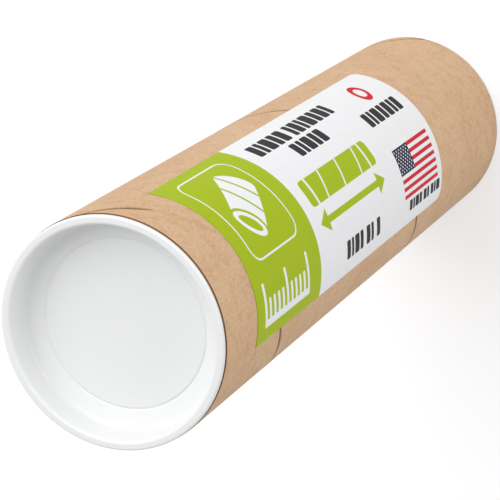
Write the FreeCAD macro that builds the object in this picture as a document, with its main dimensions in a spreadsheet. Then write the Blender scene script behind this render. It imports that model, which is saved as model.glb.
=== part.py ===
# Spiral-wound kraft mailing tube with a push-in plastic plug in each end and a paper label.
# The tube stands on its bottom plug, with the label facing -Y.
# Origin: centre of the bottom plug's outer face. +Z runs up the tube. Lengths in mm, angles in degrees.

import FreeCAD, Part
import Sketcher
import math
import os

# Driving dimensions: name, value, meaning
DRIVING = [
    ("tube_bore", 76.2, "inside diameter of the tube, 3 in"),
    ("tube_wall", 2.032, "wall of the wound board, 0.08 in"),
    ("tube_length", 304.8, "length of the tube, 12 in"),
    ("cut_edge", 0.25, "bevel of the tube's cut edges"),
    ("ply_width", 127.0, "width of the outer ply, 5 in"),
    ("ply_thickness", 0.35, "thickness of the outer ply, which is the depth of its seam"),
    ("seam_gap", 0.4, "gap between two turns of the outer ply"),
    ("seam_height", 130.0, "height above the tube's foot where the seam crosses the label's middle"),
    ("seat_gap", 0.3, "gap between the plug's flange and the tube's end"),
    ("plug_clearance", 0.06, "radial clearance of the plug in the bore"),
    ("flange_inset", 0.18, "how far the flange's edge stays inside the tube's outside"),
    ("flange_thickness", 1.7, "thickness of the flange"),
    ("rim_rounding", 0.7, "rounding of the flange's outer edge, on its open side"),
    ("back_bevel", 0.4, "bevel of the flange's outer edge, next to the tube"),
    ("mouth_bevel", 0.4, "bevel where the flange turns into the recess"),
    ("plug_wall", 1.25, "thickness of the plug's wall"),
    ("plug_draft", 0.5, "how much the plug's radius falls down to its corner"),
    ("recess_depth", 10.9, "depth of the disc below the rim"),
    ("shoulder_width", 6.3, "width of the sloping ring between wall and disc"),
    ("shoulder_fall", 1.7, "fall of the sloping ring from wall to disc"),
    ("recess_bevel", 1.6, "bevel between the recess's wall and the sloping ring"),
    ("floor_thickness", 1.25, "thickness of the plug's floor"),
    ("lead_in", 2.2, "bevel of the plug's corner, which leads it into the bore"),
    ("label_length", 198.0, "length of the label along the tube"),
    ("label_width", 70.7, "width of the label round the tube"),
    ("label_thickness", 0.2, "thickness of the label"),
    ("label_glue", 0.04, "adhesive under the label"),
    ("label_setback", 25.8, "distance from the tube's top end to the label"),
    ("label_rounding", 3.8, "rounding of the label's two lower corners"),
    ("label_azimuth", -90.0, "direction that the middle of the label faces"),
]

# Sizes that follow from the driving ones: name, formula, meaning
FOLLOWING = [
    ("bore_radius", "tube_bore / 2", "inside radius of the tube"),
    ("outer_radius", "bore_radius + tube_wall", "outside radius of the tube"),
    ("tube_foot", "flange_thickness + seat_gap", "height of the tube's lower end"),
    ("tube_head", "tube_foot + tube_length", "height of the tube's upper end"),
    ("whole_height", "tube_head + tube_foot", "height over both plugs"),
    ("girth", "2 * pi * outer_radius", "way once round the tube"),
    ("seam_pitch", "ply_width / sqrt(1 - (ply_width / girth) ^ 2)", "rise of the seam in one turn"),
    ("seam_run", "2 * seam_gap + ply_thickness", "how far the seam's cut overruns each end of the tube"),
    ("seam_floor", "outer_radius - ply_thickness", "radius at the bottom of the seam"),
    ("seam_above", "outer_radius + ply_thickness", "radius at which the seam's cut starts"),
    ("seam_low", "tube_foot - seam_run", "lower edge of the seam's cut at its start"),
    ("seam_high", "seam_low + seam_gap", "upper edge of the seam's cut at its start"),
    ("seam_travel", "tube_length + 2 * seam_run", "rise of the seam's cut"),
    ("seam_turn", "label_azimuth - 360 * (seam_height + seam_run) / seam_pitch", "where the cut starts"),
    ("flange_radius", "outer_radius - flange_inset", "outside radius of the flange"),
    ("plug_radius", "bore_radius - plug_clearance", "outside radius of the plug"),
    ("corner_radius", "plug_radius - plug_draft", "outside radius of the plug at its corner"),
    ("mouth_radius", "plug_radius - plug_wall", "radius of the recess at the rim"),
    ("foot_radius", "corner_radius - plug_wall", "radius of the recess at the foot of its wall"),
    ("disc_radius", "foot_radius - shoulder_width", "radius of the disc"),
    ("wall_depth", "recess_depth - shoulder_fall", "depth of the recess at the foot of its wall"),
    ("corner_depth", "wall_depth + floor_thickness", "depth of the plug at its corner"),
    ("plug_depth", "recess_depth + floor_thickness", "depth of the plug over all"),
    ("label_back", "outer_radius + label_glue", "inside radius of the label"),
    ("label_face", "label_back + label_thickness", "outside radius of the label"),
    ("label_half", "label_width / label_face * 90 / pi", "half of the label's angle round the tube"),
    ("label_top", "tube_head - label_setback", "height of the label's upper edge"),
    ("label_foot", "label_top - label_length", "height of the label's lower edge"),
    ("corner_high", "label_foot + label_rounding", "height at which the label's corners start to round"),
    ("corner_low", "label_foot - label_rounding", "height that the cut of the corners starts from"),
]

# Numbers that Sketcher gives to the parts of a sketch
ACROSS_AXIS, UP_AXIS = -1, -2
ORIGIN = ACROSS_AXIS
START, END, CENTRE = range(1, 4)

# Two lengths this close are the same length
NEAR = 0.001

doc = FreeCAD.newDocument("mailing_tube")
sheet = doc.addObject("Spreadsheet::Sheet", "sizes")


def fill_sheet():
    """The spreadsheet that every piece reads its sizes from."""
    row = 1
    for name, entry, meaning in DRIVING + [(name, "=" + rule, why) for name, rule, why in FOLLOWING]:
        sheet.set(f"A{row}", name)
        sheet.set(f"B{row}", str(entry))
        sheet.setAlias(f"B{row}", name)
        sheet.set(f"C{row}", meaning)
        row += 1
    doc.recompute()


def size(name):
    return float(sheet.get(name))


def bind(thing, prop, name):
    """Tie a property of a feature, or a sketch's constraint, to a cell of the sheet."""
    thing.setExpression(prop, f"sizes.{name}")


def new_body(label):
    body = doc.addObject("PartDesign::Body", label)
    body.Label = label
    return body


def new_sketch(body, role, name):
    """An empty sketch on the origin plane of the body that has this role."""
    plane = next(item for item in body.Origin.OriginFeatures if item.Role == role)
    sketch = body.newObject("Sketcher::SketchObject", name)
    sketch.AttachmentSupport = [(plane, "")]
    sketch.MapMode = "FlatFace"
    return sketch


def place_point(sketch, item, end, across, up):
    """Fix a point by two sizes, or put it on an axis where a size is left out."""
    if across:
        number = sketch.addConstraint(
            Sketcher.Constraint("DistanceX", ORIGIN, START, item, end, size(across)))
        bind(sketch, f"Constraints[{number}]", across)
    else:
        sketch.addConstraint(Sketcher.Constraint("PointOnObject", item, end, UP_AXIS))
    if up:
        number = sketch.addConstraint(
            Sketcher.Constraint("DistanceY", ORIGIN, START, item, end, size(up)))
        bind(sketch, f"Constraints[{number}]", up)
    else:
        sketch.addConstraint(Sketcher.Constraint("PointOnObject", item, end, ACROSS_AXIS))


def draw_outline(sketch, corners):
    """A closed outline of straight lines through corners named by their sizes."""
    points = [FreeCAD.Vector(size(x) if x else 0, size(y) if y else 0, 0) for x, y in corners]
    count = len(points)
    for index in range(count):
        sketch.addGeometry(Part.LineSegment(points[index], points[(index + 1) % count]))
    for index in range(count):
        sketch.addConstraint(Sketcher.Constraint("Coincident", index, END, (index + 1) % count, START))
    for index, (across, up) in enumerate(corners):
        place_point(sketch, index, START, across, up)


def revolve(body, sketch, name):
    turned = body.newObject("PartDesign::Revolution", name)
    turned.Profile = sketch
    turned.ReferenceAxis = (sketch, ["V_Axis"])
    turned.Angle = 360
    doc.recompute()
    return turned


def ring_at(feature, radius, height):
    """The name of the feature's round edge with this radius, at this height."""
    for number, edge in enumerate(feature.Shape.Edges, start=1):
        if not isinstance(edge.Curve, Part.Circle):
            continue
        if abs(edge.Curve.Radius - radius) < NEAR and abs(edge.Curve.Center.z - height) < NEAR:
            return f"Edge{number}"
    raise ValueError(f"{feature.Name} has no round edge of radius {radius} at {height}")


def round_edges(body, base, edges, name, rounding):
    """Round some edges of the base feature by the size in one cell."""
    rounded = body.newObject("PartDesign::Fillet", name)
    rounded.Base = (base, edges)
    bind(rounded, "Radius", rounding)
    doc.recompute()
    return rounded


def bevel_edges(body, base, edges, name, width):
    """Break some edges of the base feature by the size in one cell."""
    broken = body.newObject("PartDesign::Chamfer", name)
    broken.Base = (base, edges)
    bind(broken, "Size", width)
    doc.recompute()
    return broken


def turn_body(body, azimuth):
    """Turn a body about the upright axis to the azimuth in one cell."""
    body.Placement = FreeCAD.Placement(FreeCAD.Vector(), FreeCAD.Rotation(FreeCAD.Vector(0, 0, 1), 0))
    bind(body, "Placement.Rotation.Angle", azimuth)


def turn_over(body, height):
    """Turn a body upside down, so that its lowest face becomes its highest, at the height in one cell."""
    half_turn = FreeCAD.Rotation(FreeCAD.Vector(1, 0, 0), 180)
    body.Placement = FreeCAD.Placement(FreeCAD.Vector(0, 0, size(height)), half_turn)
    bind(body, "Placement.Base.z", height)


def make_tube():
    """The wound board: one plain tube, with the seam of its outer ply running round it."""
    body = new_body("tube")
    section = new_sketch(body, "XZ_Plane", "tube_section")
    draw_outline(section, [
        ("bore_radius", "tube_foot"),
        ("outer_radius", "tube_foot"),
        ("outer_radius", "tube_head"),
        ("bore_radius", "tube_head"),
    ])
    wall = revolve(body, section, "tube_wall_turned")
    ends = [ring_at(wall, size(radius), size(height))
            for radius in ("bore_radius", "outer_radius") for height in ("tube_foot", "tube_head")]
    bevel_edges(body, wall, ends, "tube_cut_edges", "cut_edge")

    cutter = new_sketch(body, "XZ_Plane", "seam_section")
    draw_outline(cutter, [
        ("seam_floor", "seam_low"),
        ("seam_above", "seam_low"),
        ("seam_above", "seam_high"),
        ("seam_floor", "seam_high"),
    ])
    seam = body.newObject("PartDesign::SubtractiveHelix", "seam")
    seam.Profile = cutter
    seam.ReferenceAxis = (cutter, ["V_Axis"])
    seam.Mode = 0
    bind(seam, "Pitch", "seam_pitch")
    bind(seam, "Height", "seam_travel")
    doc.recompute()
    turn_body(body, "seam_turn")
    return body


def make_plug(label):
    """A recessed plug, open side down at height 0: flange, wall, sloping ring and disc in one moulding."""
    body = new_body(label)
    section = new_sketch(body, "XZ_Plane", f"{label}_section")
    draw_outline(section, [
        ("mouth_radius", None),
        ("flange_radius", None),
        ("flange_radius", "flange_thickness"),
        ("plug_radius", "flange_thickness"),
        ("corner_radius", "corner_depth"),
        ("disc_radius", "plug_depth"),
        (None, "plug_depth"),
        (None, "recess_depth"),
        ("disc_radius", "recess_depth"),
        ("foot_radius", "wall_depth"),
    ])
    turned = revolve(body, section, f"{label}_turned")
    rim = round_edges(body, turned, [ring_at(turned, size("flange_radius"), 0)],
                      f"{label}_rim", "rim_rounding")
    back = bevel_edges(body, rim, [ring_at(rim, size("flange_radius"), size("flange_thickness"))],
                       f"{label}_back", "back_bevel")
    mouth = bevel_edges(body, back, [ring_at(back, size("mouth_radius"), 0)],
                        f"{label}_mouth", "mouth_bevel")
    recess = bevel_edges(body, mouth, [ring_at(mouth, size("foot_radius"), size("wall_depth"))],
                         f"{label}_recess", "recess_bevel")
    bevel_edges(body, recess, [ring_at(recess, size("corner_radius"), size("corner_depth"))],
                f"{label}_corner", "lead_in")
    return body


def cut_label_corner(body, side, name):
    """Round a lower corner of the label, drawn square on to it. The side is 1 or -1, its angle's sign."""
    sign = "" if side > 0 else "-"
    against = "-" if side > 0 else ""
    section = new_sketch(body, "YZ_Plane", f"{name}_section")
    face_on = FreeCAD.Rotation(FreeCAD.Vector(0, 1, 0), side * size("label_half"))
    section.AttachmentOffset = FreeCAD.Placement(FreeCAD.Vector(), face_on)
    section.setExpression("AttachmentOffset.Rotation.Angle", f"{sign}sizes.label_half * 1 deg")

    reach = side * size("label_rounding")
    edge_end = FreeCAD.Vector(0, size("corner_high"), 0)
    hub = FreeCAD.Vector(-reach, size("corner_high"), 0)
    foot_end = FreeCAD.Vector(-reach, size("label_foot"), 0)
    outside = [edge_end, FreeCAD.Vector(reach, edge_end.y, 0), FreeCAD.Vector(reach, size("corner_low"), 0),
               FreeCAD.Vector(-reach, size("corner_low"), 0), foot_end]
    for start, stop in zip(outside, outside[1:]):
        section.addGeometry(Part.LineSegment(start, stop))
    upper, outer, lower, inner, arc = range(5)
    round_part = Part.Circle(hub, FreeCAD.Vector(0, 0, 1), size("label_rounding"))
    turns = (-math.pi / 2, 0) if side > 0 else (math.pi, 1.5 * math.pi)
    section.addGeometry(Part.ArcOfCircle(round_part, *turns))
    arc_top, arc_foot = (END, START) if side > 0 else (START, END)
    for first, second in ((upper, outer), (outer, lower), (lower, inner)):
        section.addConstraint(Sketcher.Constraint("Coincident", first, END, second, START))
    section.addConstraint(Sketcher.Constraint("Coincident", inner, END, arc, arc_foot))
    section.addConstraint(Sketcher.Constraint("Coincident", upper, START, arc, arc_top))
    for level, upright in ((upper, outer), (lower, inner)):
        section.addConstraint(Sketcher.Constraint("Horizontal", level))
        section.addConstraint(Sketcher.Constraint("Vertical", upright))
    section.addConstraint(Sketcher.Constraint("PointOnObject", upper, START, UP_AXIS))
    section.addConstraint(Sketcher.Constraint("PointOnObject", arc, CENTRE, upper))
    for item, end, kind, value, rule in (
            (upper, START, "DistanceY", edge_end.y, "sizes.corner_high"),
            (outer, END, "DistanceY", outside[2].y, "sizes.corner_low"),
            (upper, END, "DistanceX", reach, f"{sign}sizes.label_rounding"),
            (lower, END, "DistanceX", -reach, f"{against}sizes.label_rounding"),
            (arc, CENTRE, "DistanceX", -reach, f"{against}sizes.label_rounding")):
        number = section.addConstraint(Sketcher.Constraint(kind, ORIGIN, START, item, end, value))
        section.setExpression(f"Constraints[{number}]", rule)

    corner = body.newObject("PartDesign::Pocket", name)
    corner.Profile = section
    corner.Type = "ThroughAll"
    corner.Reversed = True
    doc.recompute()


def make_label():
    """The printed sheet stuck round part of the tube, with its two lower corners rounded."""
    body = new_body("label")
    section = new_sketch(body, "XY_Plane", "label_section")
    bind(section, "AttachmentOffset.Base.z", "label_foot")
    half = math.radians(size("label_half"))
    middle = FreeCAD.Vector()
    upward = FreeCAD.Vector(0, 0, 1)
    for radius in ("label_back", "label_face"):
        section.addGeometry(Part.ArcOfCircle(Part.Circle(middle, upward, size(radius)), -half, half))
    for turn in (-half, half):
        outwards = FreeCAD.Vector(math.cos(turn), math.sin(turn), 0)
        section.addGeometry(Part.LineSegment(outwards * size("label_back"), outwards * size("label_face")))
    back, face, right, left = range(4)
    for arc, radius, end in ((back, "label_back", START), (face, "label_face", END)):
        section.addConstraint(Sketcher.Constraint("Coincident", arc, CENTRE, ORIGIN, START))
        section.addConstraint(Sketcher.Constraint("Coincident", right, end, arc, START))
        section.addConstraint(Sketcher.Constraint("Coincident", left, end, arc, END))
        number = section.addConstraint(Sketcher.Constraint("Radius", arc, size(radius)))
        bind(section, f"Constraints[{number}]", radius)
    for side, turn, sign in ((right, -half, "-"), (left, half, "")):
        section.addConstraint(Sketcher.Constraint("PointOnObject", ORIGIN, START, side))
        number = section.addConstraint(Sketcher.Constraint("Angle", side, turn))
        section.setExpression(f"Constraints[{number}]", f"{sign}sizes.label_half * 1 deg")

    sheet_pad = body.newObject("PartDesign::Pad", "label_sheet")
    sheet_pad.Profile = section
    bind(sheet_pad, "Length", "label_length")
    doc.recompute()
    for side, name in ((1, "label_corner_left"), (-1, "label_corner_right")):
        cut_label_corner(body, side, name)
    turn_body(body, "label_azimuth")
    return body


def check_and_write(bodies):
    """Stop on any failed object, then write one STEP file for each body."""
    failed = [item.Name for item in doc.Objects if {"Invalid", "Error"} & set(item.State)]
    if failed:
        raise RuntimeError(f"these objects failed: {failed}")
    for body in bodies:
        if body.Shape.isNull() or not body.Shape.isValid():
            raise RuntimeError(f"{body.Label} has no valid shape")
    os.makedirs("parts", exist_ok=True)
    for body in bodies:
        body.Shape.exportStep(os.path.join("parts", body.Label + ".step"))
        print(body.Label, "volume", round(body.Shape.Volume, 1), "solids", len(body.Shape.Solids))


fill_sheet()
pieces = [make_tube(), make_label(), make_plug("bottom_cap"), make_plug("top_cap")]
turn_over(pieces[-1], "whole_height")
doc.recompute()
check_and_write(pieces)
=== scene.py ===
# A mailing tube of spiral-wound kraft board, with two recessed plugs and a printed label, in a plain studio.
# All lengths are in metres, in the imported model's own frame: +Z up, the middle of the label towards -Y.

import math

import bpy
from bpy.props import FloatProperty, FloatVectorProperty, IntProperty, PointerProperty
from mathutils import Matrix, Vector
from mathutils.geometry import delaunay_2d_cdt


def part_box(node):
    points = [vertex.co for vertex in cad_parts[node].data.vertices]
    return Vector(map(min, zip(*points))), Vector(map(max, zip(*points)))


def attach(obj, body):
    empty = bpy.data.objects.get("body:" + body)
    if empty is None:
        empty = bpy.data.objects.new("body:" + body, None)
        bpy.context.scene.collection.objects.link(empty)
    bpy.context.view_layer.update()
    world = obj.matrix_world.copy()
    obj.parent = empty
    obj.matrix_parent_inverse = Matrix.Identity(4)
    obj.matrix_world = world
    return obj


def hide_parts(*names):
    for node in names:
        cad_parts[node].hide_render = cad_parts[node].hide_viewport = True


bl_info = {
    "name": "Mailing Tube",
    "version": (1, 0, 0),
    "blender": (4, 5, 0),
    "location": "3D View > Sidebar > Mailing Tube",
    "description": "Builds the finish of a wound mailing tube with plugs and a label, and its studio",
    "category": "Object",
}

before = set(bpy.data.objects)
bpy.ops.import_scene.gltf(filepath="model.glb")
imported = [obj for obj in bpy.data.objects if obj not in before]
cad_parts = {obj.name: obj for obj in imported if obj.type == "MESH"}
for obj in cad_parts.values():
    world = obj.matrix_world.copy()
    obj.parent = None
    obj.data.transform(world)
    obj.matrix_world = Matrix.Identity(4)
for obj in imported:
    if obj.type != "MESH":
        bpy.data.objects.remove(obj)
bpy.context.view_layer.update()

MM = 0.001
WHITE = (1.0, 1.0, 1.0)
QUARTER = math.radians(90)
FRONT = -QUARTER
INK = "ink"
BOARD_FACES = ("Outside", "Inside", "Cut Ends")

# A seam: half its gap where closed and where its lips are up, its edge, the lips' slopes, and its wander
TIGHT_SEAM = 0.012 * MM
OPEN_SEAM = 0.2 * MM
SEAM_EDGE = 0.06 * MM
LIP_RISE = 0.15 * MM
LIP_FALL = 1.5 * MM
WANDER = 1.2 * MM

# Raggedness of a cut end, and fineness of the meshes
PLY_STEP = 0.06 * MM
STRIP_ROWS = 10
ARC_STEP = math.radians(11)
SHARP = math.radians(35)
MERGE = 0.001 * MM
CLOSE = 0.0005


def radii(node):
    """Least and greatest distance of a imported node's corners from the upright axis."""
    spans = [math.hypot(corner.co.x, corner.co.y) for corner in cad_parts[node].data.vertices]
    return min(spans), max(spans)


def heights(node):
    """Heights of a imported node's foot and top."""
    low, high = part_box(node)
    return low.z, high.z


BORE_RADIUS, TUBE_RADIUS = radii("tube")
TUBE_FOOT, TUBE_HEAD = heights("tube")
FLANGE_RADIUS = radii("top_cap")[1]
LABEL_BACK, LABEL_FACE = radii("label")
LABEL_FOOT, LABEL_TOP = heights("label")
STANDING_HEIGHT = heights("top_cap")[1]


def length(name, default, description):
    return FloatProperty(name=name, description=description, default=default, min=0.0, precision=5,
                         subtype="DISTANCE", unit="LENGTH")


def fraction(name, default, description):
    return FloatProperty(name=name, description=description, default=default, min=0.0, max=1.0,
                         subtype="FACTOR")


def rotation(name, degrees, description):
    """An angle, with its default in degrees."""
    return FloatProperty(name=name, description=description, default=math.radians(degrees),
                         subtype="ANGLE", unit="ROTATION")


def colour(name, default, description):
    return FloatVectorProperty(name=name, description=description, default=default, size=3,
                               min=0.0, max=1.0, subtype="COLOR")


def position(name, default, description):
    return FloatVectorProperty(name=name, description=description, default=default, size=3,
                               subtype="XYZ", unit="LENGTH")


def count(name, default, description):
    return IntProperty(name=name, description=description, default=default, min=1)


class BoardSettings(bpy.types.PropertyGroup):
    """Sizes and colours of the wound board."""
    ply_width: length("Ply Width", 127 * MM, "Width of the paper strip on the outside")
    liner_width: length("Liner Width", 101.6 * MM, "Width of the paper strip on the inside")
    ply_thickness: length("Ply Thickness", 0.33 * MM, "Depth of the seam on the outside")
    liner_thickness: length("Liner Thickness", 0.2 * MM, "Depth of the seam on the inside")
    seam_height: length("Seam Height", TUBE_FOOT + 130 * MM,
                        "Height of the outer seam under the label's middle")
    liner_seam_height: length("Liner Seam Height", TUBE_FOOT + 61 * MM, "The same for the inner seam")
    seam_gap: length("Seam Gap", 0.85 * MM, "Widest gap between two turns of a strip")
    tight_turn: FloatProperty(name="Tight Turn", default=1.05,
                              description="Turns past the label's middle at which the outer seam is closed")
    seam_lip: length("Seam Lip", 0.05 * MM, "How far the strip's edges lift beside the seam")
    cut_bevel: length("Cut Bevel", 0.24 * MM, "Wear of the edges of the tube's cut ends")
    plies: count("Plies", 6, "Layers of paper that show on a cut end")
    steps: count("Steps per Turn", 240, "Facets round the tube")
    seed: IntProperty(name="Seed", default=0, min=0,
                      description="Which of many ragged edges and wandering seams")
    kraft: colour("Kraft", (0.62, 0.405, 0.236), "Colour of the paper")
    kraft_pale: colour("Pale Kraft", (0.75, 0.55, 0.37), "Colour of its pale clouds and fibres")
    kraft_dark: colour("Dark Kraft", (0.43, 0.24, 0.12), "Colour of its dark fibres and flecks")
    kraft_rosy: colour("Rosy Kraft", (0.66, 0.40, 0.26), "Colour of its rosy clouds")
    # Dark brown used as painted shade in and beside the seams and at the cut end's outer edge, and also as
    # the colour of the joints between plies on a cut end.
    painted_shade_and_joints: colour("Seam", (0.10, 0.045, 0.018), "Colour in the depth of a seam")


class PlugSettings(bpy.types.PropertyGroup):
    """Sizes and colour of the recessed plugs."""
    flange_thickness: length("Flange Thickness", 1.7 * MM, "Thickness of the flange")
    rim_rounding: length("Rim Rounding", 0.85 * MM, "Rounding of the flange's outer edge")
    back_rounding: length("Back Rounding", 0.6 * MM, "Rounding of the flange's edge next to the tube")
    mouth_rounding: length("Mouth Rounding", 1.1 * MM, "Rounding between the rim and the recess")
    plug_radius: length("Plug Radius", BORE_RADIUS - 0.06 * MM, "Outside radius of the plug")
    wall: length("Wall", 1.25 * MM, "Thickness of wall and floor")
    draft: length("Draft", 0.5 * MM, "How much narrower the plug is at its corner")
    recess_depth: length("Recess Depth", 10.9 * MM, "Depth of the disc below the rim")
    shoulder_width: length("Shoulder Width", 6.3 * MM, "Width of the sloping ring round the disc")
    shoulder_fall: length("Shoulder Fall", 1.7 * MM, "Fall of the sloping ring")
    recess_rounding: length("Recess Rounding", 2.4 * MM, "Rounding at the foot of the recess's wall")
    corner_rounding: length("Corner Rounding", 3.4 * MM, "Rounding of the plug's corner")
    crease: length("Crease", 0.5 * MM, "Rounding of the creases round the disc")
    groove_width: length("Groove Width", 1.4 * MM, "Width of the groove round the disc")
    groove_depth: length("Groove Depth", 0.36 * MM, "Depth of that groove")
    neck_rounding: length("Neck Rounding", 0.12 * MM, "Rounding of the corner under the flange")
    steps: count("Steps", 240, "Facets round the plug")
    plastic: colour("Plastic", (0.82, 0.825, 0.83), "Colour of the plastic")


class LabelSettings(bpy.types.PropertyGroup):
    """Sizes and colours of the printed label."""
    corner: length("Corner", 3.8 * MM, "Rounding of the two lower corners")
    facet: length("Facet", 1.6 * MM, "Width of a flat facet round the tube")
    paper: colour("Paper", (0.83, 0.835, 0.845), "Colour of the bare paper")
    green: colour("Green", (0.365, 0.475, 0.008), "Colour of the large printed field")
    ink: colour("Ink", (0.020, 0.020, 0.024), "Colour of the dark print")
    red: colour("Red", (0.60, 0.012, 0.028), "Colour of the stripes")
    navy: colour("Navy", (0.018, 0.018, 0.052), "Colour of the striped field's corner")


class StudioSettings(bpy.types.PropertyGroup):
    """Camera, lamps and floor."""
    camera: position("Camera", (0.0, -0.37238, 0.89907), "Where the camera stands")
    aim: position("Aim", (-0.003868, 0.0, 0.19621), "What the camera points at")
    roll: rotation("Roll", -125.428, "Turn of the camera about its own line of sight")
    lens: FloatProperty(name="Lens", description="Focal length", default=155.31, unit="CAMERA")
    world: fraction("Surround", 0.55, "Level of the light from all round")
    key: FloatProperty(name="Key", description="Power of the main lamp", default=84.0, unit="POWER")
    key_place: position("Key Place", (2.4, -0.15, 2.5), "Where the main lamp stands")
    key_width: length("Key Width", 3.2, "Width of the main lamp")
    fill: FloatProperty(name="Fill", description="Power of the second lamp", default=17.0, unit="POWER")
    fill_place: position("Fill Place", (-0.45, -2.2, 0.62), "Where the second lamp stands")
    fill_width: length("Fill Width", 1.1, "Width of the second lamp")
    floor_width: length("Floor Width", 40.0, "Width of the floor")
    floor_colour: colour("Floor Colour", (0.64, 0.64, 0.645), "Colour of the floor")
    floor_glow: fraction("Floor Glow", 0.45, "How much the camera sees the floor brighter than it is lit")
    floor_near: length("Floor Near", 0.7, "How far out the floor still shows its own light and shadow")
    floor_far: length("Floor Far", 2.2, "How far out the floor has turned plain white")


class Value:
    """A socket of a node tree, whose operators add Math nodes."""

    def __init__(self, maker, socket):
        self.maker = maker
        self.socket = socket

    def output(self, name):
        """Another output of the same node."""
        return Value(self.maker, self.socket.node.outputs[name])

    def __add__(self, other):
        return self.maker.math("ADD", self, other)

    def __sub__(self, other):
        return self.maker.math("SUBTRACT", self, other)

    def __mul__(self, other):
        return self.maker.math("MULTIPLY", self, other)

    def __truediv__(self, other):
        return self.maker.math("DIVIDE", self, other)

    def __gt__(self, other):
        return self.maker.math("GREATER_THAN", self, other)

    def __lt__(self, other):
        return self.maker.math("LESS_THAN", self, other)

    def __radd__(self, other):
        return self.maker.math("ADD", other, self)

    def __rsub__(self, other):
        return self.maker.math("SUBTRACT", other, self)

    def __rmul__(self, other):
        return self.maker.math("MULTIPLY", other, self)

    def __rtruediv__(self, other):
        return self.maker.math("DIVIDE", other, self)

    def __abs__(self):
        return self.maker.math("ABSOLUTE", self)


class Maker:
    """Adds nodes to one shader or geometry tree."""

    def __init__(self, tree):
        self.tree = tree

    def node(self, kind, settings=None, sockets=None, output=0):
        """A node of that type: its settings come first, then the values or links of its sockets."""
        made = self.tree.nodes.new(kind)
        for name, setting in (settings or {}).items():
            if name == "choices":
                for _ in range(setting - len(made.index_switch_items)):
                    made.index_switch_items.new()
            else:
                setattr(made, name, setting)
        for key, given in (sockets or {}).items():
            for each in given if isinstance(given, list) else [given]:
                self.feed(made.inputs[key], each)
        return Value(self, made.outputs[output]) if made.outputs else None

    def feed(self, socket, given):
        """Links a value to a socket, or sets the socket to it."""
        if isinstance(given, Value):
            self.tree.links.new(given.socket, socket)
        elif socket.type == "RGBA":
            socket.default_value = (*given[:3], 1.0)
        else:
            socket.default_value = given

    def math(self, operation, *values):
        """A Math node on numbers and sockets."""
        return self.node("ShaderNodeMath", {"operation": operation}, dict(enumerate(values)))

    def mix(self, share, first, second):
        """The first colour, or the second where share is 1."""
        return self.node("ShaderNodeMix", {"data_type": "RGBA"}, {0: share, 6: first, 7: second}, output=2)

    def combine(self, x, y, z):
        """A vector from three numbers."""
        return self.node("ShaderNodeCombineXYZ", sockets={0: x, 1: y, 2: z})

    def separate(self, vector):
        """The three numbers of a vector."""
        parts = self.node("ShaderNodeSeparateXYZ", sockets={0: vector})
        return [parts.output(axis) for axis in "XYZ"]

    def off_axis(self, place):
        """Distance of a place from the upright axis."""
        x, y, _ = self.separate(place)
        return self.math("SQRT", x * x + y * y)

    def noise(self, vector, scale, detail, roughness=0.5):
        """Cloudy noise between 0 and 1."""
        sockets = {"Vector": vector, "Scale": scale, "Detail": detail, "Roughness": roughness}
        return self.node("ShaderNodeTexNoise", {"noise_dimensions": "3D"}, sockets, output="Fac")

    def ramp(self, given, start, stop, smooth=False):
        """0 below start, 1 above stop and a slope between them."""
        kind = {"interpolation_type": "SMOOTHSTEP" if smooth else "LINEAR", "clamp": True}
        return self.node("ShaderNodeMapRange", kind, {"Value": given, "From Min": start, "From Max": stop})

    def choose(self, index, values):
        """The value at that place in the list."""
        settings = {"data_type": "FLOAT", "choices": len(values)}
        sockets = {place + 1: given for place, given in enumerate(values)}
        return self.node("GeometryNodeIndexSwitch", settings, {0: index, **sockets})


def empty_tree(owner):
    """The maker for the emptied node tree of a material or a world."""
    owner.use_nodes = True
    owner.node_tree.nodes.clear()
    return Maker(owner.node_tree)


def new_material(name, constants):
    """A material with a Principled shader whose constant sockets are set, its maker and its sockets."""
    material = bpy.data.materials.new(name)
    make = empty_tree(material)
    shader = make.node("ShaderNodeBsdfPrincipled", sockets=constants)
    make.node("ShaderNodeOutputMaterial", sockets={"Surface": shader})
    return material, make, shader.socket.node.inputs


def surface(make, sockets, colour, roughness, height, depth):
    """Feeds a finish: its colour, its roughness and a bump, whose height of 0 to 1 stands for that depth."""
    relief = make.node("ShaderNodeBump", sockets={"Strength": 1.0, "Distance": depth, "Height": height})
    for name, given in (("Base Color", colour), ("Roughness", roughness), ("Normal", relief)):
        make.feed(sockets[name], given)


def object_place(make):
    """The shaded place, in the object's own frame."""
    return make.node("ShaderNodeTexCoord", output="Object")


def strip_width(radius, pitch):
    """Width of a strip wound round that radius, which rises by its pitch in a turn."""
    return pitch * math.cos(math.atan(pitch / (math.tau * radius)))


def along_the_strip(make, place, radius, pitch, seam_height):
    """Turns a place on the tube into lengths along and across the wound strip, and its radius."""
    x, y, z = make.separate(place)
    turn = (make.math("ARCTAN2", y, x) - FRONT) / math.tau
    rise = (z - seam_height) / pitch
    across = make.math("FRACT", rise - turn)
    slope = math.atan(pitch / (math.tau * radius))
    along = (rise - across) * (math.tau * radius * math.cos(slope)) + (z - seam_height) * math.sin(slope)
    spread = make.math("SQRT", x * x + y * y)
    return along, across * strip_width(radius, pitch), spread


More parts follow.
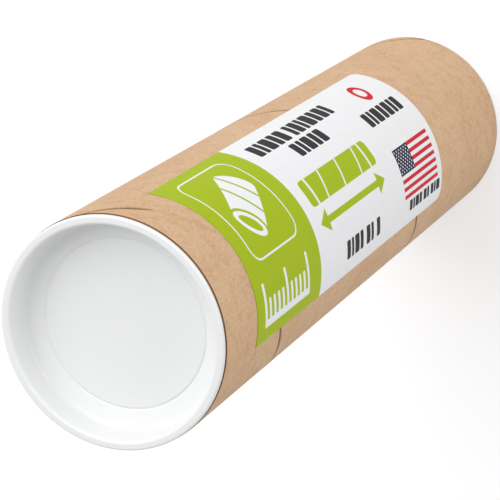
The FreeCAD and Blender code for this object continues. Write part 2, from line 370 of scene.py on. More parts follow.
def kraft_material(name, board, radius, pitch, seam_height, depth, outward):
    """Kraft paper whose fibres run along the strip, with painted shade darkening the seam between its turns.
    """
    material, make, sockets = new_material(name, {"Specular IOR Level": 0.14})
    place = object_place(make)
    along, across, spread = along_the_strip(make, place, radius, pitch, seam_height)

    def strip_noise(stretch, shift, *numbers):
        """Noise that is drawn out along the strip."""
        return make.noise(make.combine(along * stretch, across, shift), *numbers)

    crossing = make.combine(along * 0.8 + across * 0.3, across - along * 0.35, 0.02)
    clouds = make.ramp(make.noise(place, 30.0, 3.0, 0.6), 0.34, 0.68, smooth=True)
    mottle = strip_noise(0.9, 0.01, 230.0, 4.0, 0.72)
    grain = strip_noise(0.85, 0.03, 900.0, 4.0, 0.75)
    fibres = strip_noise(0.22, 0.0, 4200.0, 3.0, 0.65)
    stray = make.noise(crossing, 2700.0, 2.0, 0.6)
    flecks = make.ramp(strip_noise(0.5, 0.05, 1250.0, 1.0), 0.72, 0.79)
    specks = make.ramp(strip_noise(0.6, 0.09, 1600.0, 1.0), 0.72, 0.79)
    rosy = make.ramp(strip_noise(1.0, 0.07, 85.0, 2.0, 0.6), 0.42, 0.62, smooth=True)

    beside = make.math("MINIMUM", across, strip_width(radius, pitch) - across)
    # Darker in blotches within about 2 mm of the strip's edges, on each side of the seam.
    near_edge = 1.0 - make.ramp(beside, 0.25 * MM, 1.9 * MM, smooth=True)
    # Painted shade: the seam's lifted lips and its groove are coloured dark brown, as if shade fell in and
    # beside the seam.
    lifted = make.ramp((spread - radius) * outward, 0.4 * board.seam_lip, 0.9 * board.seam_lip)
    sunk = make.ramp((radius - spread) * outward, 0.03 * MM, depth * 0.5)

    paper = board.kraft
    for cover, tone in (
            (clouds * 0.30, board.kraft_pale),
            (rosy * 0.30, board.kraft_rosy),
            (make.ramp(mottle, 0.47, 0.70) * 0.42, board.kraft_dark),
            (make.ramp(grain, 0.50, 0.70) * 0.62, board.kraft_pale),
            (make.ramp(grain, 0.49, 0.30) * 0.48, board.kraft_dark),
            (make.ramp(fibres, 0.52, 0.78) * 0.22, board.kraft_pale),
            (make.ramp(stray, 0.55, 0.8) * 0.20, board.kraft_dark),
            (specks * 0.45, board.kraft_pale),
            (flecks * 0.5, board.kraft_dark),
            (near_edge * make.ramp(mottle, 0.35, 0.7) * 0.34, board.kraft_dark),
            # painted shade on the seam's lifted lips and in its groove
            (lifted * 0.8, board.painted_shade_and_joints),
            (sunk, board.painted_shade_and_joints)):
        paper = make.mix(cover, paper, tone)

    height = fibres * 0.4 + stray * 0.3 + mottle * 0.45 + grain * 0.45
    surface(make, sockets, paper, 0.54 + mottle * 0.16 + fibres * 0.12, height, 0.05 * MM)
    return material


def cut_end_material(board):
    """The cut end of the board: pale and dark plies, furry with cut fibres."""
    material, make, sockets = new_material("cut_board", {"Specular IOR Level": 0.3})
    place = object_place(make)
    spread = make.off_axis(place)
    ply = (spread - BORE_RADIUS) / ((TUBE_RADIUS - BORE_RADIUS) / board.plies)
    within = make.math("FRACT", ply)
    joint = 1.0 - make.ramp(make.math("MINIMUM", within, 1.0 - within), 0.04, 0.16, smooth=True)
    tone = make.noise(make.combine(make.math("FLOOR", ply), 0.5, 0.5), 3.7, 0.0)
    torn = make.noise(place, 5200.0, 3.0, 0.7)
    blotch = make.noise(place, 700.0, 3.0, 0.6)
    paper = make.mix(make.ramp(tone, 0.3, 0.7) * 0.55, board.kraft, board.kraft_dark)
    paper = make.mix(make.ramp(torn, 0.45, 0.8) * 0.5, paper, board.kraft_pale)
    paper = make.mix(make.ramp(blotch, 0.5, 0.8) * 0.35, paper, board.kraft_dark)
    paper = make.mix(joint * 0.6, paper, board.painted_shade_and_joints)
    # Partly a darker cut edge and partly painted shade: the outermost band of the cut end is darkened to
    # stand in for the shadow in the gap under the plug's flange.
    cut_edge_and_gap_shade = make.ramp(spread, TUBE_RADIUS - 0.42 * MM, TUBE_RADIUS - 0.2 * MM, smooth=True)
    paper = make.mix(cut_edge_and_gap_shade * 0.8, paper, board.painted_shade_and_joints)
    surface(make, sockets, paper, 0.78 + torn * 0.15, torn * 0.6 + blotch * 0.4, 0.09 * MM)
    return material


def plastic_material(plug):
    """Soft white moulded plastic: glossy on the wall, a little frosted on the disc."""
    material, make, sockets = new_material("white_plastic", {
        "IOR": 1.51,
        "Specular IOR Level": 0.36,
        "Subsurface Weight": 0.12,
        "Subsurface Radius": (1.0, 1.0, 1.0),
        "Subsurface Scale": 1.2 * MM,
    })
    place = object_place(make)
    spread = make.off_axis(place)
    disc = 1.0 - make.ramp(spread, 0.7 * plug.plug_radius, 0.86 * plug.plug_radius, smooth=True)
    cloud = make.noise(place, 45.0, 3.0, 0.6)
    grain = make.noise(place, 2600.0, 2.0, 0.6)
    turning = make.noise(make.combine(spread, 0.0, 0.0), 900.0, 2.0, 0.6)
    handled = make.ramp(make.noise(place, 160.0, 4.0, 0.7), 0.56, 0.78)
    duller = tuple(0.95 * part for part in plug.plastic)
    shade = make.mix(make.ramp(cloud, 0.35, 0.75) * 0.16, plug.plastic, duller)
    roughness = 0.26 + disc * 0.18 + cloud * 0.08 + handled * 0.07
    surface(make, sockets, shade, roughness, grain * 0.3 + turning * 0.25 + cloud * 0.6, 0.012 * MM)
    return material


def print_material(label):
    """Coated label paper, whose ink comes from the mesh's own colours."""
    material, make, sockets = new_material("printed_paper", {"Specular IOR Level": 0.07})
    place = object_place(make)
    ink = make.node("ShaderNodeAttribute", {"attribute_name": INK}, output="Color")
    fibres = make.noise(make.node("ShaderNodeMapping", sockets={"Vector": place, "Scale": (1.0, 1.0, 0.3)}),
                        2400.0, 3.0, 0.65)
    cloud = make.noise(place, 300.0, 3.0, 0.6)
    worn = make.mix(make.ramp(fibres, 0.55, 0.85) * 0.015, ink, label.paper)
    worn = make.mix(make.ramp(cloud, 0.5, 0.8) * 0.03, worn, label.ink)
    surface(make, sockets, worn, 0.42 + fibres * 0.12 + cloud * 0.08, fibres * 0.5 + cloud * 0.8, 0.018 * MM)
    return material


def wound_sizes(board):
    """Named sizes of the wound wall, as the geometry tree takes them."""
    def pitch(radius, width):
        return width / math.cos(math.asin(width / (math.tau * radius)))
    return {
        "Outer Radius": TUBE_RADIUS,
        "Bore Radius": BORE_RADIUS,
        "Foot": TUBE_FOOT,
        "Head": TUBE_HEAD,
        "Outer Pitch": pitch(TUBE_RADIUS, board.ply_width),
        "Outer Seam": board.seam_height,
        "Outer Depth": board.ply_thickness,
        "Inner Pitch": pitch(BORE_RADIUS, board.liner_width),
        "Inner Seam": board.liner_seam_height,
        "Inner Depth": board.liner_thickness,
        "Gap": board.seam_gap,
        "Tight Turn": board.tight_turn,
        "Lip": board.seam_lip,
        "Bevel": board.cut_bevel,
        "Seed": float(board.seed),
        "Steps": float(board.steps),
    }


def seam_radius(make, angle, height, side, sizes):
    """Radius of the wound wall at a place: flat board, with a lifted edge and a groove along the seam."""
    radius = sizes["Outer Radius" if side > 0 else "Bore Radius"]
    word = "Outer" if side > 0 else "Inner"
    turned = (angle - FRONT) / math.tau
    rise = (height - sizes[f"{word} Seam"]) / sizes[f"{word} Pitch"]
    nearest = make.math("ROUND", rise - turned)
    half, wander = seam_shape(make, turned + nearest, side, sizes)
    away = abs((rise - turned - nearest) * sizes[f"{word} Pitch"] - wander)
    groove = 1.0 - make.ramp(away, half - SEAM_EDGE, half)
    lift = make.ramp(away, half, half + LIP_RISE) * (1.0 - make.ramp(away, half + LIP_RISE, half + LIP_FALL))
    lift = lift * make.ramp(half, TIGHT_SEAM, OPEN_SEAM)
    return radius + (lift * sizes["Lip"] - groove * sizes[f"{word} Depth"]) * side


def seam_shape(make, turned, side, sizes):
    """Half the seam's gap and how far it wanders from its line, both by the turns along the strip."""
    open_noise = make.noise(make.combine(turned, side, sizes["Seed"]), 5.0, 2.0)
    line_noise = make.noise(make.combine(turned, side, sizes["Seed"] + 7.0), 2.2, 1.0)
    half = sizes["Gap"] * (0.30 + make.ramp(open_noise, 0.3, 0.65, smooth=True) * 0.20)
    if side > 0:
        half = half * make.ramp(abs(turned - sizes["Tight Turn"]), 0.045, 0.08, smooth=True) + TIGHT_SEAM
    return half, (line_noise - 0.5) * WANDER


def counted_grid(make, columns, rows):
    """A flat grid, and the column and row of each of its corners, from 0."""
    grid = make.node("GeometryNodeMeshGrid", sockets={
        "Size X": 1.0, "Size Y": 1.0, "Vertices X": columns, "Vertices Y": rows})
    across, up, _ = make.separate(make.node("GeometryNodeInputPosition"))
    column = make.math("ROUND", (across + 0.5) * (columns - 1.0))
    return grid, column, make.math("ROUND", (up + 0.5) * (rows - 1.0))


def laid(make, grid, place, facing):
    """The grid with its corners at those places, turned over where facing is -1."""
    sheet = make.node("GeometryNodeSetPosition", sockets={"Geometry": grid, "Position": place})
    return sheet if facing > 0 else make.node("GeometryNodeFlipFaces", sockets={"Mesh": sheet})


def wall_sheet(make, side, sizes):
    """One face of the wound wall, laid as a strip along its seam and cut off level at both ends."""
    word = "Outer" if side > 0 else "Inner"
    pitch = sizes[f"{word} Pitch"]
    seam = sizes[f"{word} Seam"]
    low = sizes["Foot"] + sizes["Bevel"]
    high = sizes["Head"] - sizes["Bevel"]
    first = make.math("FLOOR", (low - pitch / 2.0 - seam) / pitch * sizes["Steps"])
    columns = make.math("CEIL", ((high - low) / pitch + 1.0) * sizes["Steps"]) + 2.0
    grid, column, row = counted_grid(make, columns, 2 * STRIP_ROWS - 1)
    row = row - (STRIP_ROWS - 1.0)
    turned = (first + column) / sizes["Steps"]
    half, wander = seam_shape(make, turned, side, sizes)
    reach = make.choose(abs(row), [
        0.0, half - SEAM_EDGE, half, half + LIP_RISE, half + LIP_FALL,
        5 * MM, 12 * MM, pitch / 4.0, pitch * 0.375, pitch / 2.0])
    offset = make.math("SIGN", row) * reach + wander * (1.0 - reach / (pitch / 2.0))
    height = make.math("MINIMUM", make.math("MAXIMUM", seam + pitch * turned + offset, low), high)
    angle = turned * math.tau + FRONT
    radius = seam_radius(make, angle, height, side, sizes)
    return laid(make, grid, on_circle(make, radius, angle, height), side)


def on_circle(make, radius, angle, height):
    """The place at that radius, angle and height."""
    return make.combine(make.math("COSINE", angle) * radius, make.math("SINE", angle) * radius, height)


def cut_end(make, up, plies, sizes):
    """The ring of cut plies at one end, from the outside edge to the inside one. Up is 1 or -1."""
    level = sizes["Head" if up > 0 else "Foot"]
    grid, column, row = counted_grid(make, sizes["Steps"] + 1.0, 3 * plies + 1)
    angle = column / sizes["Steps"] * math.tau + FRONT
    edge = level - sizes["Bevel"] * up
    outer = seam_radius(make, angle, edge, 1, sizes)
    inner = seam_radius(make, angle, edge, -1, sizes)

    shares = [0.0]
    sinks = [sizes["Bevel"]]
    for ply in range(plies):
        worn = 0.08 if ply == 0 else 0.012
        near_edge = 0.92 if ply == plies - 1 else 0.988
        circle = on_circle(make, 16.0, angle, sizes["Seed"] + (ply * 3.0 + up))
        rag = make.noise(circle, 1.0, 3.0) * PLY_STEP
        shares += [(ply + worn) / plies, (ply + near_edge) / plies]
        sinks += [rag, rag + 0.2 * PLY_STEP]
        if ply < plies - 1:
            shares.append((ply + 1) / plies)
            sinks.append(rag + 1.6 * PLY_STEP)
    shares.append(1.0)
    sinks.append(sizes["Bevel"])
    share = make.choose(row, shares)
    height = level - make.choose(row, sinks) * up
    return laid(make, grid, on_circle(make, outer + (inner - outer) * share, angle, height), up)


def wound_wall_tree(names, plies):
    """A geometry tree for the whole wall: outside, inside and both cut ends, with three materials."""
    tree = bpy.data.node_groups.new("wound_wall", "GeometryNodeTree")
    face = tree.interface
    face.new_socket("Geometry", in_out="INPUT", socket_type="NodeSocketGeometry")
    for name in names:
        face.new_socket(name, in_out="INPUT", socket_type="NodeSocketFloat")
    for name in BOARD_FACES:
        face.new_socket(name, in_out="INPUT", socket_type="NodeSocketMaterial")
    face.new_socket("Geometry", in_out="OUTPUT", socket_type="NodeSocketGeometry")
    make = Maker(tree)
    given = make.node("NodeGroupInput")
    sizes = {name: given.output(name) for name in names}

    parts = [wall_sheet(make, 1, sizes), wall_sheet(make, -1, sizes)]
    parts += [cut_end(make, 1, plies, sizes), cut_end(make, -1, plies, sizes)]
    joined = make.node("GeometryNodeJoinGeometry", sockets={0: parts})
    closed = make.node("GeometryNodeMergeByDistance", sockets={"Geometry": joined, "Distance": MERGE})

    place = make.node("GeometryNodeInputPosition")
    height = make.separate(place)[2]
    inside = make.off_axis(place) < (sizes["Outer Radius"] + sizes["Bore Radius"]) / 2.0
    middle = (sizes["Head"] + sizes["Foot"]) / 2.0
    at_end = abs(height - middle) > (sizes["Head"] - sizes["Foot"]) / 2.0 - sizes["Bevel"]
    made = make.node("GeometryNodeRealizeInstances", sockets={"Geometry": closed})
    for name, where in zip(BOARD_FACES, (True, inside, at_end)):
        made = make.node("GeometryNodeSetMaterial", sockets={
            "Geometry": made, "Selection": where, "Material": given.output(name)})
    make.node("NodeGroupOutput", sockets={"Geometry": made})
    return tree


def grown(name, tree, inputs):
    """The plain mesh object that a geometry tree makes from those inputs."""
    holder = new_piece(f"{name}_holder", bpy.data.meshes.new(f"{name}_holder"))
    modifier = holder.modifiers.new("tree", "NODES")
    modifier.node_group = tree
    for item in tree.interface.items_tree:
        if item.in_out == "INPUT" and item.name in inputs:
            modifier[item.identifier] = inputs[item.name]
    graph = bpy.context.evaluated_depsgraph_get()
    mesh = bpy.data.meshes.new_from_object(holder.evaluated_get(graph), depsgraph=graph)
    holder.modifiers.remove(modifier)
    bpy.data.objects.remove(holder)
    mesh.name = name
    return new_piece(name, mesh)


def new_piece(name, data):
    """An object in the scene that holds a mesh, a lamp or a camera."""
    made = bpy.data.objects.new(name, data)
    bpy.context.collection.objects.link(made)
    return made


def finish_piece(piece, body, node):
    """Checks that the piece has faces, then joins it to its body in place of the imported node."""
    if not piece.data.polygons:
        raise RuntimeError(f"{piece.name} has no faces")
    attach(piece, body)
    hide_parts(node)


def rounded(corners):
    """Points of an outline that starts and ends on the axis, and the outward direction at each.

    A corner is a radius, a height and a rounding. The solid lies to the left of the way round.
    """
    spots = [Vector(corner[:2]) for corner in corners]
    points = [(spots[0], Vector((0.0, -1.0)))]
    for before, here, after, corner in zip(spots, spots[1:], spots[2:], corners[1:]):
        back = (before - here).normalized()
        onward = (after - here).normalized()
        half = back.angle(onward) / 2
        hub = here + (back + onward).normalized() * (corner[2] / math.sin(half))
        start = here + back * (corner[2] / math.tan(half)) - hub
        stop = here + onward * (corner[2] / math.tan(half)) - hub
        sweep = start.angle(stop)
        travel = stop - start
        steps = max(3, math.ceil(sweep / ARC_STEP))
        for step in range(steps + 1):
            share = step / steps
            arm = (start * math.sin((1 - share) * sweep) + stop * math.sin(share * sweep)) / math.sin(sweep)
            outward = arm.normalized()
            if outward.dot(Vector((travel.y, -travel.x))) < 0:
                outward = -outward
            points.append((hub + arm, outward))
    points.append((spots[-1], Vector((0.0, 1.0))))
    return points


def turned_solid(name, outline, steps):
    """A closed solid of revolution about the upright axis, with true normals."""
    def swung(flat, turn):
        return flat.x * math.cos(turn), flat.x * math.sin(turn), flat.y

    first, *ring_points, last = outline
    corners = [(0.0, 0.0, first[0].y)]
    normals = [(0.0, 0.0, first[1].y)]
    turns = [math.tau * step / steps for step in range(steps)]
    for point, outward in ring_points:
        for turn in turns:
            corners.append(swung(point, turn))
            normals.append(swung(outward, turn))
    corners.append((0.0, 0.0, last[0].y))
    normals.append((0.0, 0.0, last[1].y))
    faces = []
    end = len(corners) - 1
    final = end - steps
    for step in range(steps):
        follow = (step + 1) % steps
        faces.append((0, 1 + follow, 1 + step))
        faces.append((end, final + step, final + follow))
        for ring in range(1, final, steps):
            faces.append((ring + step, ring + follow, ring + steps + follow, ring + steps + step))
    mesh = bpy.data.meshes.new(name)
    mesh.from_pydata(corners, [], faces)
    mesh.shade_smooth()
    mesh.normals_split_custom_set_from_vertices(normals)
    return mesh


def plug_outline(plug):
    """Section of a plug with its rim at height 0 and its recess open upwards, from the underside round."""
    rim = FLANGE_RADIUS
    mouth = plug.plug_radius - plug.wall
    corner = plug.plug_radius - plug.draft
    foot = mouth - plug.draft
    disc = foot - plug.shoulder_width
    ring_depth = plug.recess_depth - plug.shoulder_fall
    return rounded([
        (0.0, -plug.recess_depth - plug.wall, 0.0),
        (disc, -plug.recess_depth - plug.wall, plug.crease),
        (corner, -ring_depth - plug.wall, plug.corner_rounding),
        (plug.plug_radius, -plug.flange_thickness, plug.neck_rounding),
        (rim, -plug.flange_thickness, plug.back_rounding),
        (rim, 0.0, plug.rim_rounding),
        (mouth, 0.0, plug.mouth_rounding),
        (foot, -ring_depth, plug.recess_rounding),
        (disc, -plug.recess_depth, plug.crease),
        (disc - plug.groove_width / 2, -plug.recess_depth - plug.groove_depth, plug.crease),
        (disc - plug.groove_width, -plug.recess_depth, plug.crease),
        (0.0, -plug.recess_depth, 0.0),
    ])


def box_shape(left, right, low, high):
    """A plain rectangle."""
    return [(left, low), (right, low), (right, high), (left, high)]


def round_box(left, right, low, high, radius, steps=6):
    """A rectangle with rounded corners."""
    shape = []
    hubs = [(right - radius, low + radius), (right - radius, high - radius),
            (left + radius, high - radius), (left + radius, low + radius)]
    for quarter, (x, y) in enumerate(hubs):
        for step in range(steps + 1):
            turn = QUARTER * (quarter - 1 + step / steps)
            shape.append((x + radius * math.cos(turn), y + radius * math.sin(turn)))
    return shape


def disc_shape(x, y, radius, steps=40):
    """A disc, as an even polygon."""
    turns = [math.tau * step / steps for step in range(steps)]
    return [(x + radius * math.cos(turn), y + radius * math.sin(turn)) for turn in turns]


def bar_shape(start, stop, width):
    """A straight bar between two points."""
    way = (Vector(stop) - Vector(start)).normalized() * (width / 2)
    side = Vector((-way.y, way.x))
    corners = ((start, -side), (stop, -side), (stop, side), (start, side))
    return [tuple(Vector(end) + shift) for end, shift in corners]


def block_row(left, right, low, high, words):
    """A line of plain upright blocks of several widths, in groups."""
    widths = (1.0, 0.62, 1.25, 0.85, 1.1, 0.7)
    gap = (high - low) * 0.17
    space = (high - low) * 0.5
    blocks = sum(words)
    shares = [widths[block % len(widths)] for block in range(blocks)]
    unit = (right - left - space * (len(words) - 1) - gap * (blocks - len(words))) / sum(shares)
    shapes = []
    x = left
    for group in words:
        for block in range(group):
            width = unit * shares[len(shapes)]
            shapes.append(round_box(x, x + width, low, high, min(width, high - low) * 0.16, 2))
            x += width + gap
        x += space - gap
    return shapes


def striped_field(label):
    """Stripes with a dark corner field of small discs in staggered rows."""
    left, right, low, high = 151.6, 192.7, -24.4, -4.2
    stripes = 13
    rows = 9
    columns = 11
    stripe = (high - low) / stripes
    shapes = [(box_shape(left, right, low, high), label.paper)]
    for row in range(0, stripes, 2):
        top = high - row * stripe
        shapes.append((box_shape(left, right, top - stripe, top), label.red))
    field_right = left + 0.4 * (right - left)
    field_low = high - 7 * stripe
    shapes.append((box_shape(left, field_right, field_low, high), label.navy))
    for row in range(rows):
        for column in range(row % 2, columns, 2):
            x = left + (column + 1) / (columns + 1) * (field_right - left)
            y = high - (row + 1) / (rows + 1) * (high - field_low)
            shapes.append((disc_shape(x, y, 0.42, 6), label.paper))
    return shapes


def oval_shape(middle, along, across, way):
    """An oval whose first half-width lies along a direction."""
    steps = 36
    side = Vector((-way.y, way.x))
    shape = []
    for step in range(steps):
        turn = math.tau * step / steps
        spot = middle + way * (along * math.cos(turn)) + side * (across * math.sin(turn))
        shape.append(tuple(spot))
    return shape


def tube_sign(left, right, low, high, paint, ground):
    """A slanting tube with an open end and a wound seam, as a plain sign."""
    way = Vector((right - left, high - low)).normalized()
    side = Vector((-way.y, way.x))
    wide = 0.27 * (right - left)
    near = Vector((left + wide, low + 0.27 * (high - low)))
    far = Vector((right - 0.23 * (right - left), high - 0.23 * (high - low)))
    shapes = [(bar_shape(near, far, 2 * wide), paint), (oval_shape(far, 0.45 * wide, wide, way), paint)]
    for share in (0.42, 0.78):
        start = near.lerp(far, share) - side * (0.99 * wide)
        stop = near.lerp(far, share + 0.26) + side * (0.99 * wide)
        shapes.append((bar_shape(start, stop, 1.1), ground))
    for along, across, ink in ((0.66, 1.14, ground), (0.5, 0.98, paint), (0.28, 0.7, ground)):
        shapes.append((oval_shape(near, along * wide, across * wide, way), ink))
    return shapes


def length_sign(left, right, low, high, paint, ground):
    """A long capped tube seen from its side over an arrow with two heads."""
    tall = high - low
    cap = 0.3 * tall
    tube_low = high - 0.5 * tall
    level = low + 0.2 * tall
    shapes = [(round_box(left, right, tube_low, high, 0.11 * tall), paint)]
    for x in (left + cap, right - cap):
        shapes.append((box_shape(x - 0.035 * tall, x + 0.035 * tall, tube_low, high), ground))
    for share in (0.3, 0.56, 0.82):
        x = left + share * (right - left)
        shapes.append((bar_shape((x - 0.22 * tall, tube_low), (x, high), 0.05 * tall), ground))
    shaft = box_shape(left + 0.2 * tall, right - 0.2 * tall, level - 0.06 * tall, level + 0.06 * tall)
    shapes.append((shaft, paint))
    for tip, inward in ((left, 1), (right, -1)):
        head = tip + inward * 0.36 * tall
        arrow = [(tip, level), (head, level - 0.2 * tall), (head, level + 0.2 * tall)]
        shapes.append((arrow if inward > 0 else arrow[::-1], paint))
    return shapes


def rule_sign(left, right, low, high, paint):
    """A rule's edge with long and short marks."""
    marks = 11
    width = 1.8
    step = (right - left - width) / (marks - 1)
    shapes = [(round_box(left, right, low, low + 2.6, 0.5), paint)]
    for mark in range(marks):
        x = left + mark * step
        top = high if mark % 5 == 0 else low + 0.62 * (high - low)
        shapes.append((round_box(x, x + width, low, top, 0.4, 2), paint))
    return shapes


def label_print(label, long, half_wide):
    """The label's shapes in the order that they are laid down, in millimetres from its top and its middle."""
    corner = label.corner / MM
    steps = 8
    outline = [(0.0, -half_wide)]
    for side in (-1, 1):
        for step in range(steps + 1):
            turn = QUARTER * (step / steps - (1 if side < 0 else 0))
            x = long - corner + corner * math.cos(turn)
            outline.append((x, side * (half_wide - corner) + corner * math.sin(turn)))
    outline.append((0.0, half_wide))
    shapes = [(outline, label.paper), (box_shape(0.0, 58.5, -half_wide, half_wide), label.green)]
    shapes += [(round_box(8.1, 48.2, -8.7, 30.6, 6.0), label.paper)]
    shapes += [(round_box(8.8, 47.5, -8.0, 29.9, 5.3), label.green)]
    shapes += tube_sign(12.6, 43.2, -4.6, 26.2, label.paper, label.green)
    shapes += rule_sign(6.4, 47.2, -30.6, -15.2, label.paper)
    shapes += length_sign(66.3, 134.5, -15.3, 6.3, label.green, label.paper)
    for left, right, low, high, words in (
            (67.0, 142.0, 21.8, 29.2, (5, 7)), (87.4, 116.5, 13.2, 20.1, (5,)),
            (85.4, 121.5, -29.6, -22.5, (4, 2, 1)), (151.0, 189.0, 7.5, 14.6, (7,)),
            (157.0, 195.0, -30.1, -25.8, (4, 2, 3))):
        shapes += [(shape, label.ink) for shape in block_row(left, right, low, high, words)]
    shapes += [(disc_shape(174.0, 23.3, 5.6), label.red), (disc_shape(174.0, 23.3, 3.1), label.paper)]
    return shapes + striped_field(label)


def printed_sheet(name, label):
    """The label as a thin bent sheet: printed face, plain back and cut edges, all one closed mesh."""
    reach = max(abs(corner.co.x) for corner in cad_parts["label"].data.vertices)
    half_wide = math.asin(reach / LABEL_FACE) * LABEL_FACE / MM
    long = (LABEL_TOP - LABEL_FOOT) / MM
    shapes = label_print(label, long, half_wide)

    spots = []
    loops = []
    for outline, _ in shapes:
        loops.append(list(range(len(spots), len(spots) + len(outline))))
        spots += [Vector(spot) for spot in outline]
    folds = []
    lanes = math.ceil(2 * half_wide / (label.facet / MM))
    for lane in range(1, lanes):
        y = (2 * lane / lanes - 1) * half_wide
        folds.append((len(spots), len(spots) + 1))
        spots += [Vector((0.0, y)), Vector((long, y))]
    flat, _, triangles, _, _, sources = delaunay_2d_cdt(spots, folds, loops, 1, CLOSE)

    def bent(spot, radius):
        turn = FRONT + spot.y * MM / LABEL_FACE
        return radius * math.cos(turn), radius * math.sin(turn), LABEL_TOP - spot.x * MM

    behind = len(flat)
    corners = [bent(spot, LABEL_FACE) for spot in flat] + [bent(spot, LABEL_BACK) for spot in flat]
    faces = []
    inks = []
    edge_inks = {}
    for triangle, inside_of in zip(triangles, sources):
        if not inside_of:
            continue
        a, b, c = (flat[corner] for corner in triangle)
        around = list(triangle) if (b - a).cross(c - a) > 0 else list(reversed(triangle))
        faces.append(around)
        inks.append(shapes[max(inside_of)][1])
        for edge in zip(around, around[1:] + around[:1]):
            edge_inks[edge] = inks[-1]
    printed = len(faces)
    faces += [[corner + behind for corner in reversed(face)] for face in faces]
    inks += [label.paper] * printed
    for (start, stop), ink in edge_inks.items():
        if (stop, start) not in edge_inks:
            faces.append([start, start + behind, stop + behind, stop])
            inks.append(ink)

    mesh = bpy.data.meshes.new(name)
    mesh.from_pydata(corners, [], faces)
    mesh.shade_smooth()
    colours = mesh.color_attributes.new(INK, "FLOAT_COLOR", "CORNER")
    normals = []
    for face, ink in zip(mesh.polygons, inks):
        for loop in face.loop_indices:
            colours.data[loop].color = (*ink, 1.0)
            corner = Vector(corners[mesh.loops[loop].vertex_index])
            round_out = Vector((corner.x, corner.y, 0.0)).normalized()
            normals.append(face.normal if face.index >= 2 * printed
                           else round_out if face.index < printed else -round_out)
    mesh.normals_split_custom_set(normals)
    return mesh


def floor_material(studio):
    """A pale floor that the camera sees as white, with the object's shadow kept."""
    material = bpy.data.materials.new("studio_floor")
    make = empty_tree(material)
    pale = make.node("ShaderNodeBsdfPrincipled", sockets={
        "Base Color": studio.floor_colour, "Roughness": 0.85, "Specular IOR Level": 0.1})
    glow = make.node("ShaderNodeEmission", sockets={"Color": WHITE, "Strength": studio.floor_glow})
    seen = make.node("ShaderNodeAddShader", sockets={0: pale, 1: glow})
    out = make.off_axis(object_place(make))
    outward = make.ramp(out, studio.floor_near, studio.floor_far, smooth=True)
    white = make.node("ShaderNodeEmission", sockets={"Color": WHITE, "Strength": 1.0})
    seen = make.node("ShaderNodeMixShader", sockets={0: outward, 1: seen, 2: white})
    mixed = make.node("ShaderNodeMixShader", sockets={0: straight_view(make), 1: pale, 2: seen})
    make.node("ShaderNodeOutputMaterial", sockets={"Surface": mixed})
    return material


def straight_view(make):
    """1 for rays from the camera, and for those that it sees by gloss or through clear things."""
    path = make.node("ShaderNodeLightPath", output="Is Camera Ray")
    either = make.math("MAXIMUM", path, path.output("Is Glossy Ray"))
    return make.math("MAXIMUM", either, path.output("Is Transmission Ray"))


def light_world(studio):
    """An even surround that the camera sees as white."""
    world = bpy.data.worlds.new("studio_world")
    bpy.context.scene.world = world
    make = empty_tree(world)
    light = make.node("ShaderNodeBackground", sockets={"Color": WHITE, "Strength": studio.world})
    white = make.node("ShaderNodeBackground", sockets={"Color": WHITE, "Strength": 1.0})
    mixed = make.node("ShaderNodeMixShader", sockets={0: straight_view(make), 1: light, 2: white})
    make.node("ShaderNodeOutputWorld", sockets={"Surface": mixed})


def add_lamp(name, place, aim, width, power):
    """A square soft lamp that shines from one point to another."""
    lamp = bpy.data.lights.new(name, "AREA")
    lamp.shape = "SQUARE"
    lamp.size = width
    lamp.energy = power
    holder = new_piece(name, lamp)
    holder.location = place
    holder.rotation_euler = (Vector(aim) - Vector(place)).to_track_quat("-Z", "Y").to_euler()


def add_camera(studio):
    """The camera, rolled so that the standing tube lies aslant in its frame."""
    camera = bpy.data.cameras.new("camera")
    camera.lens = studio.lens
    camera.sensor_width = 36.0
    camera.clip_start = 0.01
    holder = new_piece("camera", camera)
    sight = (Vector(studio.aim) - Vector(studio.camera)).normalized()
    level = sight.cross(Vector((0.0, 0.0, 1.0))).normalized()
    upright = level.cross(sight)
    turn = Matrix((level, upright, -sight)).transposed() @ Matrix.Rotation(studio.roll, 3, "Z")
    holder.matrix_world = Matrix.Translation(studio.camera) @ turn.to_4x4()
    bpy.context.scene.camera = holder


class TUBE_OT_board(bpy.types.Operator):
    """Build the wound board tube"""
    bl_idname = "mailing_tube.board"
    bl_label = "Board Tube"

    def execute(self, context):
        board = context.scene.mailing_board
        sizes = wound_sizes(board)
        outside = kraft_material("kraft_outside", board, TUBE_RADIUS, sizes["Outer Pitch"],
                                 sizes["Outer Seam"], board.ply_thickness, 1)
        inside = kraft_material("kraft_inside", board, BORE_RADIUS, sizes["Inner Pitch"],
                                sizes["Inner Seam"], board.liner_thickness, -1)
        papers = dict(zip(BOARD_FACES, (outside, inside, cut_end_material(board))))
        tree = wound_wall_tree(list(sizes), board.plies)
        tube = grown("kraft_tube", tree, {**sizes, **papers})
        tube.data.shade_smooth()
        tube.data.set_sharp_from_angle(angle=SHARP)
        finish_piece(tube, "tube_body", "tube")
        return {"FINISHED"}


class TUBE_OT_plugs(bpy.types.Operator):
    """Build the two recessed plugs"""
    bl_idname = "mailing_tube.plugs"
    bl_label = "Plugs"

    def execute(self, context):
        plug = context.scene.mailing_plug
        outline = plug_outline(plug)
        plastic = plastic_material(plug)
        places = {
            "top": Matrix.Translation((0.0, 0.0, STANDING_HEIGHT)),
            "bottom": Matrix.Rotation(math.pi, 4, "X"),
        }
        for end, where in places.items():
            mesh = turned_solid(f"{end}_plug", outline, plug.steps)
            mesh.transform(where)
            mesh.materials.append(plastic)
            finish_piece(new_piece(f"{end}_plug", mesh), f"{end}_cap_body", f"{end}_cap")
        return {"FINISHED"}


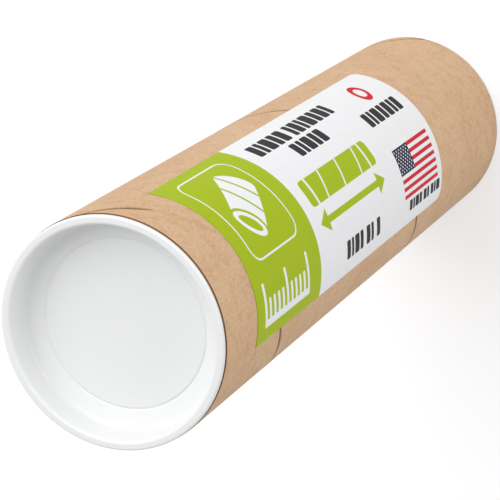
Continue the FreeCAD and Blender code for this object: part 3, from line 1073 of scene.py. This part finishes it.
class TUBE_OT_label(bpy.types.Operator):
    """Build the printed label"""
    bl_idname = "mailing_tube.label"
    bl_label = "Label"

    def execute(self, context):
        label = context.scene.mailing_label
        sheet = new_piece("paper_label", printed_sheet("paper_label", label))
        sheet.data.materials.append(print_material(label))
        finish_piece(sheet, "tube_body", "label")
        return {"FINISHED"}


class TUBE_OT_studio(bpy.types.Operator):
    """Set up the floor, the lamps and the camera"""
    bl_idname = "mailing_tube.studio"
    bl_label = "Studio"

    def execute(self, context):
        studio = context.scene.mailing_studio
        half = studio.floor_width / 2
        mesh = bpy.data.meshes.new("floor")
        corners = [(*corner, 0.0) for corner in box_shape(-half, half, -half, half)]
        mesh.from_pydata(corners, [], [(0, 1, 2, 3)])
        mesh.materials.append(floor_material(studio))
        new_piece("floor", mesh)
        light_world(studio)
        add_lamp("key_lamp", studio.key_place, studio.aim, studio.key_width, studio.key)
        add_lamp("fill_lamp", studio.fill_place, studio.aim, studio.fill_width, studio.fill)
        add_camera(studio)
        context.scene.view_settings.view_transform = "Standard"
        return {"FINISHED"}


class TUBE_PT_panel(bpy.types.Panel):
    """The building steps, in order"""
    bl_idname = "TUBE_PT_panel"
    bl_label = "Mailing Tube"
    bl_space_type = "VIEW_3D"
    bl_region_type = "UI"
    bl_category = "Mailing Tube"

    def draw(self, context):
        for operator in OPERATORS:
            self.layout.operator(operator.bl_idname)


SETTINGS = {
    "mailing_board": BoardSettings,
    "mailing_plug": PlugSettings,
    "mailing_label": LabelSettings,
    "mailing_studio": StudioSettings,
}
OPERATORS = (TUBE_OT_board, TUBE_OT_plugs, TUBE_OT_label, TUBE_OT_studio)
CLASSES = (*SETTINGS.values(), *OPERATORS, TUBE_PT_panel)


def register():
    for each in CLASSES:
        bpy.utils.register_class(each)
    for name, group in SETTINGS.items():
        setattr(bpy.types.Scene, name, PointerProperty(type=group))


def unregister():
    for name in SETTINGS:
        delattr(bpy.types.Scene, name)
    for each in reversed(CLASSES):
        bpy.utils.unregister_class(each)


def main():
    """Builds every piece and the studio."""
    register()
    bpy.ops.mailing_tube.board()
    bpy.ops.mailing_tube.plugs()
    bpy.ops.mailing_tube.label()
    bpy.ops.mailing_tube.studio()


if __name__ == "__main__":
    main()
